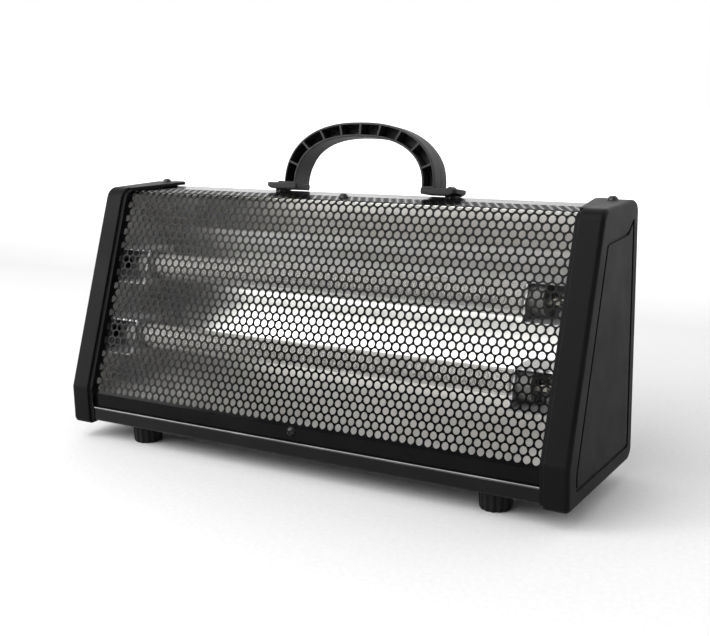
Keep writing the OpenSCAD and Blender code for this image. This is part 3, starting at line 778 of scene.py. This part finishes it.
def reflector():
    """A creased mirror with slight hand-made waves."""
    points = [vec(y, z) * MM for y, z in ((11.5, 179.3), (42, 150), (42, 104), (26.6, 71), (-45, 34))]
    fold = Fold(points, [1.6 * MM] * 3, 1)
    half = reflector_hi.x
    bm = bmesh.new()
    grid = [[bm.verts.new((-half + 2 * half * i / REFLECTOR_COLUMNS, s, 0))
             for i in range(REFLECTOR_COLUMNS + 1)]
            for s in subdivided(sorted({0, fold.length, *fold.cuts(3)}), REFLECTOR_STEP)]
    for a, b in zip(grid, grid[1:]):
        for i in range(REFLECTOR_COLUMNS):
            bm.faces.new((a[i], a[i + 1], b[i + 1], b[i]))
    thicken(bm, fold, REFLECTOR_T)
    for v in bm.verts:
        v.co.y += WAVE * noise.noise(Vector((v.co.x * 16, v.co.y * 30, v.co.z * 30)))
    make("creased_reflector", bm, reflector_metal, "reflector", sharp=30)


def tube_axis(node):
    lo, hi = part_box(node)
    return (lo + hi) / 2, hi.x - lo.x, (hi.z - lo.z) / 2


def along_x_matrix(centre, x):
    """Local Z points along +X from (x, centre.y, centre.z)."""
    return Matrix.Translation((x, centre.y, centre.z)) @ Matrix.Rotation(math.pi / 2, 4, "Y")


def quartz_tube(level):
    node = level + "_quartz_tube"
    centre, length, radius = tube_axis(node)
    inner = radius - WALL
    lip = 0.35 * MM
    profile = [(inner, 0.2 * MM), (inner + 0.2 * MM, 0), (radius - lip, 0), (radius, lip),
               (radius, length - lip), (radius - lip, length), (inner + 0.2 * MM, length),
               (inner, length - 0.2 * MM)]
    bm = bmesh.new()
    lathe(bm, profile, along_x_matrix(centre, -length / 2))
    make(level + "_tube", bm, quartz, node)


def sweep(bm, path, radius, sides):
    """A round wire along a path."""
    rings = []
    normal = (path[1] - path[0]).orthogonal().normalized()
    for i, point in enumerate(path):
        ahead = (path[min(i + 1, len(path) - 1)] - path[max(i - 1, 0)]).normalized()
        normal = (normal - ahead * normal.dot(ahead)).normalized()
        other = ahead.cross(normal)
        rings.append([point + (normal * math.cos(a) + other * math.sin(a)) * radius
                      for a in (2 * math.pi * k / sides for k in range(sides))])
    loft(bm, rings)


def heating_coil(level):
    node = level + "_heating_coil"
    centre, length, radius = tube_axis(node)
    steps = round(length / WIRE_PITCH) * WIRE_STEPS
    path = []
    for i in range(steps + 1):
        a = 2 * math.pi * i / WIRE_STEPS
        x = centre.x - length / 2 + WIRE_R + (length - 2 * WIRE_R) * i / steps
        path.append(Vector((x, centre.y + (radius - WIRE_R) * math.cos(a),
                            centre.z + (radius - WIRE_R) * math.sin(a))))
    bm = bmesh.new()
    sweep(bm, path, WIRE_R, 5)
    make(level + "_coil", bm, resistance_wire, node, sharp=80, welded=False)


reflector()
for level in ("upper", "lower"):
    quartz_tube(level)
    heating_coil(level)


def keep(node, material, bevel=0.0, segments=2):
    """Shows a CAD node as it is, with softened edges and a finish."""
    obj = NODES[node]
    obj.data.materials.clear()
    obj.data.materials.append(material)
    if bevel:
        soften(obj, bevel, segments, 40)


for level in ("upper", "lower"):
    keep(level + "_tube_ceramics", ceramic, 0.5 * MM)
for side in ("left", "right"):
    keep(side + "_tube_bracket", bracket_steel, 0.2 * MM)
    keep(side + "_bulkhead", galvanised, 0.1 * MM, 1)
keep("terminal_studs", plated_brass, 0.15 * MM)
keep("thermal_cutout", zinc_steel, 0.2 * MM)
keep("terminal_block", glazed, 0.4 * MM)
keep("internal_wiring", silicone)
keep("tip_switch_body", switch_black, 0.4 * MM)
keep("tip_switch_plunger", nylon, 0.3 * MM)
keep("tip_switch_spring", zinc_steel)
for level in ("upper", "lower"):
    keep(level + "_switch_body", switch_black, 0.3 * MM)
    keep(level + "_rocker", rocker_red, 0.35 * MM)


# ---------------------------------------------------------------- carry handle

HANDLE_LEAN = math.radians(10)
HANDLE_BACK = 55 * MM  # where the handle's back edge stands on the top
HANDLE_D = 19 * MM
ARCH_A, ARCH_B = 62 * MM, 45 * MM
ARCH_POWER = 0.84  # 1 would make the arch an ellipse, and less makes its shoulders fuller
ARCH_T = 10 * MM
ARCH_SKIN = 1.4 * MM
RIBS, RIB_T = 9, 1.4 * MM
FLANGE_T = 4.4 * MM
BOLT_X = ARCH_A + 8.5 * MM


def handle_matrix():
    """The handle's own frame: its back edge is at y = 0, its underside at z = 0, and it leans back."""
    return Matrix.Translation((0, HANDLE_BACK, handle_lo.z)) @ Matrix.Rotation(-HANDLE_LEAN, 4, "X")


def arch_point(t, inward, y):
    """A point at an angle t from the arch's right end, some way in from its outer face."""
    across = math.copysign(abs(math.cos(t)) ** ARCH_POWER, math.cos(t))
    up = max(0, math.sin(t)) ** ARCH_POWER
    return Vector(((ARCH_A - inward) * across, y, FLANGE_T - 1 * MM + (ARCH_B - inward) * up))


def arch_stations():
    """Angles along the arch, and whether the stretch after each is a pocket between two ribs."""
    def middle(t):
        return arch_point(t, ARCH_T / 2, 0)

    # the ribs stand at equal lengths along the middle line
    turns = [math.pi * i / 400 for i in range(401)]
    walked = [0.0]
    for a, b in zip(turns, turns[1:]):
        walked.append(walked[-1] + (middle(b) - middle(a)).length)
    edges = [math.asin((2 * MM / ARCH_B) ** (1 / ARCH_POWER))]
    for i in range(1, RIBS + 1):
        t = next(a for a, length in zip(turns, walked) if length >= walked[-1] * i / (RIBS + 1))
        speed = (middle(t + 0.01) - middle(t - 0.01)).length / 0.02
        edges += [t - RIB_T / 2 / speed, t + RIB_T / 2 / speed]
    edges.append(math.pi - edges[0])

    stations = [(0.0, False)]
    for k, (a, b) in enumerate(zip(edges, edges[1:])):
        is_pocket = k % 2 == 0
        pieces = 7 if is_pocket else 1
        stations += [(a + (b - a) * i / pieces, is_pocket) for i in range(pieces)]
    return stations + [(edges[-1], False), (math.pi, False)]


def arch(bm):
    """The arch: its outer face has a parting line, and its front is open to the pockets."""
    front, back = -HANDLE_D, 0.0
    middle, floor = front / 2, front * 0.45
    soft, small = 0.9 * MM, 0.4 * MM
    inside = ARCH_T - small
    shell = [(front, soft), (front + 0.25 * MM, 0.3 * MM), (front + soft, 0),
             (middle - 0.35 * MM, 0), (middle, 0.25 * MM), (middle + 0.35 * MM, 0),
             (back - soft, 0), (back - 0.25 * MM, 0.3 * MM), (back, soft),
             (back, inside), (back - small, ARCH_T), (front + small, ARCH_T), (front, inside)]
    pocket = [(front, ARCH_T - ARCH_SKIN), (floor, ARCH_T - ARCH_SKIN), (floor, ARCH_SKIN),
              (front, ARCH_SKIN)]
    rows = []
    for t, is_pocket in arch_stations():
        rings = [[bm.verts.new(arch_point(t, d, y)) for y, d in outline] for outline in (shell, pocket)]
        rows.append((*rings, is_pocket))
    for (shell_a, pocket_a, is_pocket), (shell_b, pocket_b, _) in zip(rows, rows[1:]):
        for corners in zip(shell_a, shell_a[1:], shell_b[1:], shell_b):
            bm.faces.new(corners)
        bm.faces.new((shell_a[-1], pocket_a[0], pocket_b[0], shell_b[-1]))
        bm.faces.new((pocket_a[3], shell_a[0], shell_b[0], pocket_b[3]))
        if is_pocket:
            for corners in zip(pocket_a, pocket_a[1:], pocket_b[1:], pocket_b):
                bm.faces.new(corners)
        else:
            bm.faces.new((pocket_a[0], pocket_a[3], pocket_b[3], pocket_b[0]))
    for (_, _, was_pocket), (_, ring, is_pocket) in zip(rows, rows[1:]):
        if was_pocket != is_pocket:
            bm.faces.new(ring)
    for ring, ends, _ in (rows[0], rows[-1]):
        bm.faces.new(ring + [ends[0], ends[3]])
    bmesh.ops.delete(bm, geom=[v for v in bm.verts if not v.link_faces], context="VERTS")


def flange(bm, side):
    """A foot of the arch, with a chamfer under its outer end."""
    x0, x1 = ARCH_A - ARCH_T - 1 * MM, ARCH_A + 16 * MM
    soft = 0.5 * MM
    points = [vec(x0, -HANDLE_D), vec(x1, -HANDLE_D), vec(x1, 0), vec(x0, 0)]
    rings = []
    for z, pull, cut in ((0, 0.3 * MM, 2.6 * MM), (1.4 * MM, 0, 0.3 * MM), (FLANGE_T - soft, 0, 0),
                         (FLANGE_T, soft, 0)):
        shape = inset(points, pull)
        for corner in shape[1:3]:
            corner.x -= cut
        outline = rounded(shape, [1.2 * MM, 3 * MM, 3 * MM, 1.2 * MM], 6)
        rings.append([Vector((side * p.x, p.y, z)) for p in outline])
    loft(bm, rings)


def handle_pad(bm, side):
    """The pad that fills the wedge between a leaning flange and the flat top."""
    rise = math.tan(HANDLE_LEAN)
    wedge = [(-11, 0), (-1, 0), (-1, rise + 1), (-11, 11 * rise + 1)]
    loft(bm, [[Vector((side * x, HANDLE_BACK + y * MM, handle_lo.z + z * MM)) for y, z in wedge]
              for x in (BOLT_X - 4 * MM, BOLT_X + 4 * MM)])


def carry_handle():
    """A ribbed arch on two flanges, leaning back and cut flush with the caps' backs."""
    bm = bmesh.new()
    arch(bm)
    for side in (-1, 1):
        flange(bm, side)
    bmesh.ops.transform(bm, matrix=handle_matrix(), verts=bm.verts)
    for side in (-1, 1):
        handle_pad(bm, side)
    weld(bm)
    cut = bmesh.ops.bisect_plane(bm, geom=bm.verts[:] + bm.edges[:] + bm.faces[:], dist=HAIR,
                                 plane_co=(0, cap_hi.y, 0), plane_no=(0, 1, 0), clear_outer=True)
    fill(bm, [e for e in cut["geom_cut"] if isinstance(e, bmesh.types.BMEdge)])
    make("ribbed_handle", bm, handle_plastic, "carry_handle", bevel=0.28 * MM, sharp=42)


carry_handle()


# ---------------------------------------------------------------- screws

def pan_head(bm, matrix, radius, height, shaft, length):
    """A domed head with a cross recess, and its shaft below."""
    dome = ((1.0, 0.0), (0.92, 0.35), (0.76, 0.66), (0.58, 0.88))  # shares of the radius and height
    levels = [(shaft, -length), (shaft, 0), *((radius * across, height * up) for across, up in dome)]
    rings = [[matrix @ Vector((p.x, p.y, z)) for p in circle(0, 0, r, 40)] for r, z in levels]
    _, crown = loft(bm, rings, True, False)
    arm, half = radius * 0.54, radius * 0.13
    cross = [(arm, -half), (arm, half), (half, half), (half, arm), (-half, arm), (-half, half),
             (-arm, half), (-arm, -half), (-half, -half), (-half, -arm), (half, -arm), (half, -half)]
    recess = [[matrix @ Vector((x * k, y * k, height * depth)) for x, y in cross]
              for k, depth in ((1.0, 1.0), (0.92, 0.86), (0.72, 0.35))]
    brim, _ = loft(bm, recess, False, True)
    fill(bm, ring_edges(crown) + ring_edges(brim))


def facing(position, direction, spin=0.0):
    """A matrix that puts local Z along a direction."""
    turn = Vector(direction).to_track_quat("Z", "Y").to_matrix().to_4x4()
    return Matrix.Translation(position) @ turn @ Matrix.Rotation(spin, 4, "Z")


def screws(name, node, material, places, radius, height, shaft, length):
    bm = bmesh.new()
    spins = random.Random(node)
    for position, direction in places:
        spin = spins.uniform(0, math.pi / 2)
        pan_head(bm, facing(position, direction, spin), radius, height, shaft, length)
    make(name, bm, material, node, sharp=32)


UP, FORWARD, BACKWARD, DOWN = (0, 0, 1), (0, -1, 0), (0, 1, 0), (0, 0, -1)

handle_up = handle_matrix().to_3x3() @ Vector(UP)
screws("handle_bolts", "handle_screws", black_steel,
       [(handle_matrix() @ Vector((side * BOLT_X, -HANDLE_D / 2, FLANGE_T + EASE)), handle_up)
        for side in (-1, 1)], radius=3.7 * MM, height=1.5 * MM, shaft=2 * MM, length=9 * MM)

# the other heads touch the sides of their CAD screws' boxes
lo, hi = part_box("end_cap_screws")
radius, height = 3.5 * MM, 2.2 * MM
screws("cap_screws", "end_cap_screws", black_steel,
       [((side * (hi.x - radius), (lo.y + hi.y) / 2, hi.z - height), UP) for side in (-1, 1)],
       radius, height, shaft=1.5 * MM, length=7 * MM)
lo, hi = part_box("guard_screws")
screws("guard_fixings", "guard_screws", black_steel,
       [((0, hi.y - radius, hi.z - height), UP), ((0, lo.y + height, lo.z + radius), FORWARD)],
       radius, height, shaft=1.5 * MM, length=6 * MM)
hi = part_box("rear_screws")[1]
screws("rear_fixings", "rear_screws", black_steel,
       [((x * MM, hi.y - 2 * MM, z * MM), BACKWARD)
        for x, z in ((-150, 22), (0, 22), (150, 22), (-165, 172), (165, 172))],
       radius=3.2 * MM, height=2 * MM, shaft=1.5 * MM, length=5 * MM)
lo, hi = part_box("foot_screws")
radius = 3.8 * MM
screws("foot_fixings", "foot_screws", zinc_steel,
       [((x, y, lo.z + height), DOWN) for x in (lo.x + radius, hi.x - radius)
        for y in (lo.y + radius, hi.y - radius)],
       radius, height, shaft=1.9 * MM, length=17 * MM)


# ---------------------------------------------------------------- feet

FLUTES = 14
FLUTE_SHARE = 0.27  # half of a flute's width, as a share of the distance between flutes
FLUTE_DEPTH = 0.95 * MM
FOOT_LEVELS = [  # height in millimetres, share of the radius, share of a flute's depth
    (0.0, 0.86, 0.55), (0.25, 0.895, 0.8), (0.7, 0.92, 1.0), (1.4, 0.94, 1.0), (6.0, 0.965, 1.0),
    (11.8, 0.99, 1.0), (12.6, 0.995, 0.6), (13.0, 1.0, 0.0), (14.0, 1.0, 0.0), (14.4, 0.98, 0.0)]


def flute(turn):
    """How deep a flute is at a place round the foot, counted in flutes: 0 on a ridge, at most 1."""
    away = abs(turn % 1.0 - 0.5) / FLUTE_SHARE
    return math.sqrt(1 - away ** 2) if away < 1 else 0.0


def foot(node, name):
    """A fluted rubber foot, slightly tapered, with its screw sunk in the bottom."""
    lo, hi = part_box(node)
    centre, radius = (lo + hi) / 2, (hi.x - lo.x) / 2
    around = FLUTES * 12
    well = [[(r * MM, z * MM)] * around for r, z in ((4.3, 5.0), (4.3, 0.3), (4.6, 0.0))]
    skin = [[(radius * share - FLUTE_DEPTH * depth * flute(i / around * FLUTES), z * MM)
             for i in range(around)] for z, share, depth in FOOT_LEVELS]
    bore = 2.1 * MM
    core = [[level] * around for level in ((4 * MM, tray_lo.z - EASE), (4 * MM, hi.z), (bore, hi.z),
                                           (bore, 5.0 * MM))]
    rings = well + skin + core
    bm = bmesh.new()
    columns = []
    for i in range(around):
        a = 2 * math.pi * i / around
        columns.append([bm.verts.new((centre.x + r * math.cos(a), centre.y + r * math.sin(a), z))
                        for r, z in (ring[i] for ring in rings)])
    for i in range(around):
        bridge(bm, columns[i], columns[(i + 1) % around])
    make(name, bm, rubber, node, sharp=50)


for end in ("front", "rear"):
    for side in ("left", "right"):
        foot(f"{end}_{side}_foot", f"{end}_{side}_fluted_foot")


# ---------------------------------------------------------------- cable gland

def cable_gland():
    """A round bushing with a soft flange."""
    lo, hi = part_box("cable_gland")
    centre = (lo + hi) / 2
    matrix = facing((centre.x, lo.y, centre.z), BACKWARD)
    length = hi.y - lo.y
    bore, neck, rim_r = 3.6 * MM, 6.1 * MM, 8.5 * MM
    seat = length - 2.6 * MM
    profile = [(bore, 0), (neck, 0), (neck, seat), (rim_r, seat), (rim_r, length - 1.0 * MM),
               (rim_r - 0.35 * MM, length - 0.4 * MM), (rim_r - 1.2 * MM, length),
               (bore + 1.2 * MM, length), (bore + 0.35 * MM, length - 0.35 * MM), (bore, length - 1.2 * MM)]
    bm = bmesh.new()
    lathe(bm, profile, matrix)
    make("gland_bushing", bm, moulded, "cable_gland", sharp=40)


cable_gland()


# ---------------------------------------------------------------- studio

LAMP_DISTANCE = 1.7
LAMPS_AIM = Vector((0, 0, 0.1))


def emitter(name, azimuth, elevation, size, radiance):
    """A square softbox aimed at the heater. Azimuth 0 is in front and 90 on the right."""
    a, e = math.radians(azimuth), math.radians(elevation)
    towards = Vector((math.sin(a) * math.cos(e), -math.cos(a) * math.cos(e), math.sin(e)))
    light = bpy.data.lights.new(name, "AREA")
    light.shape = "SQUARE"
    light.size = size
    light.energy = radiance * math.pi * size * size
    lamp = bpy.data.objects.new(name, light)
    lamp.location = LAMPS_AIM + towards * LAMP_DISTANCE
    lamp.rotation_mode = "QUATERNION"
    lamp.rotation_quaternion = towards.to_track_quat("Z", "Y")
    bpy.context.scene.collection.objects.link(lamp)


def floor_paper():
    """Pale paper that turns into a lit backdrop behind the heater."""
    shader = Shader("floor_paper", Emission_Color=(1, 1, 1, 1))
    fibres = shader.noise(300, 3)
    split = shader.node("ShaderNodeSeparateXYZ")
    shader.link(shader.where, split.inputs["Vector"])
    shader.feed(Base_Color=shader.ramp(fibres, (0.54, 0.54, 0.54), (0.58, 0.58, 0.58)),
                Roughness=shader.spread(fibres, 0.7, 0.8),
                Emission_Strength=shader.spread(split.outputs["Y"], 0.0, 1.0, 0.5, 1.6))
    return shader.material


def studio():
    bm = bmesh.new()
    bmesh.ops.create_circle(bm, cap_ends=True, radius=7, segments=96)
    mesh = bpy.data.meshes.new("studio_floor")
    bm.to_mesh(mesh)
    bm.free()
    floor = bpy.data.objects.new("studio_floor", mesh)
    bpy.context.scene.collection.objects.link(floor)
    mesh.materials.append(floor_paper())

    world = bpy.data.worlds.new("studio")
    world.use_nodes = True
    bpy.context.scene.world = world
    tree = world.node_tree
    background = tree.nodes["Background"]
    set_inputs(background, dict(Color=(1, 1, 1, 1)))
    where = tree.nodes.new("ShaderNodeTexCoord")
    split = tree.nodes.new("ShaderNodeSeparateXYZ")
    tree.links.new(where.outputs["Generated"], split.inputs["Vector"])
    shade = tree.nodes.new("ShaderNodeMapRange")
    set_inputs(shade, dict(From_Min=-0.5, From_Max=0.6, To_Min=0.25, To_Max=1.6))
    tree.links.new(split.outputs["Y"], shade.inputs["Value"])
    seen = tree.nodes.new("ShaderNodeLightPath")
    strength = tree.nodes.new("ShaderNodeMix")
    tree.links.new(seen.outputs["Is Camera Ray"], strength.inputs["Factor"])
    tree.links.new(shade.outputs["Result"], strength.inputs["A"])
    strength.inputs["B"].default_value = 1.0
    tree.links.new(strength.outputs["Result"], background.inputs["Strength"])

    emitter("key_softbox", azimuth=-22, elevation=48, size=1.6, radiance=5.0)
    emitter("left_softbox", azimuth=-54, elevation=20, size=0.8, radiance=8.0)
    emitter("right_softbox", azimuth=110, elevation=30, size=0.9, radiance=0.8)


def camera():
    """The photograph's view, from the right and a little above."""
    place = (0.4131, -0.6391, 0.2647)
    yaw, pitch, roll = (math.radians(angle) for angle in (-31.63, 12.28, 1.256))
    ahead = Vector((math.sin(yaw) * math.cos(pitch), math.cos(yaw) * math.cos(pitch), -math.sin(pitch)))
    right = Vector((math.cos(yaw), -math.sin(yaw), 0))
    down = ahead.cross(right)
    right, down = (right * math.cos(roll) + down * math.sin(roll),
                   down * math.cos(roll) - right * math.sin(roll))
    data = bpy.data.cameras.new("photo_camera")
    data.lens = 56.8
    data.sensor_width = 36
    data.clip_start, data.clip_end = 0.01, 50
    cam = bpy.data.objects.new("photo_camera", data)
    axes = Matrix((right, -down, -ahead)).transposed().to_4x4()
    cam.matrix_world = Matrix.Translation(place) @ axes
    bpy.context.scene.collection.objects.link(cam)
    bpy.context.scene.camera = cam


studio()
camera()
bpy.context.scene.view_settings.view_transform = "Standard"
